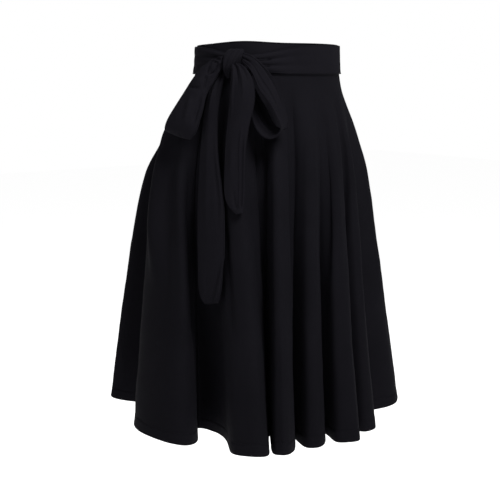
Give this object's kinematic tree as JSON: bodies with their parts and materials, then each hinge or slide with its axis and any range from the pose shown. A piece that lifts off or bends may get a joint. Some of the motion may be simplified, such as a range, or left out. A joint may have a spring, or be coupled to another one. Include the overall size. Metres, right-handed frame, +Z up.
{
  "type": "flared skirt",
  "caption": "Knee-length flared skirt in black knit with deep folds, a contoured waistband and a sash tied in a bow at the right front.",
  "frame": {"origin": "middle of the waist opening at the level of the waistband's top edge, where the wearer holds the skirt up", "axes": "+Z up along the wearer's upright axis, -Y to the wearer's front, +X to the wearer's left"},
  "size_m": [0.4749, 0.4852, 0.5984],
  "materials": {
    "skirt_knit": "matte double-knit jersey with a soft sheen",
    "band_knit": "matte double-knit jersey with a soft sheen",
    "sash_knit": "matte double-knit jersey with a soft sheen"
  },
  "bodies": {
    "root": {"skirt_front": "skirt_knit", "skirt_back": "skirt_knit", "waistband_front": "band_knit", "waistband_back": "band_knit", "sash_wrap": "sash_knit", "sash_knot": "sash_knit", "bow_loop_back": "sash_knit", "bow_loop_front": "sash_knit", "sash_tail_long": "sash_knit", "sash_tail_short": "sash_knit"}
  },
  "joints": []
}
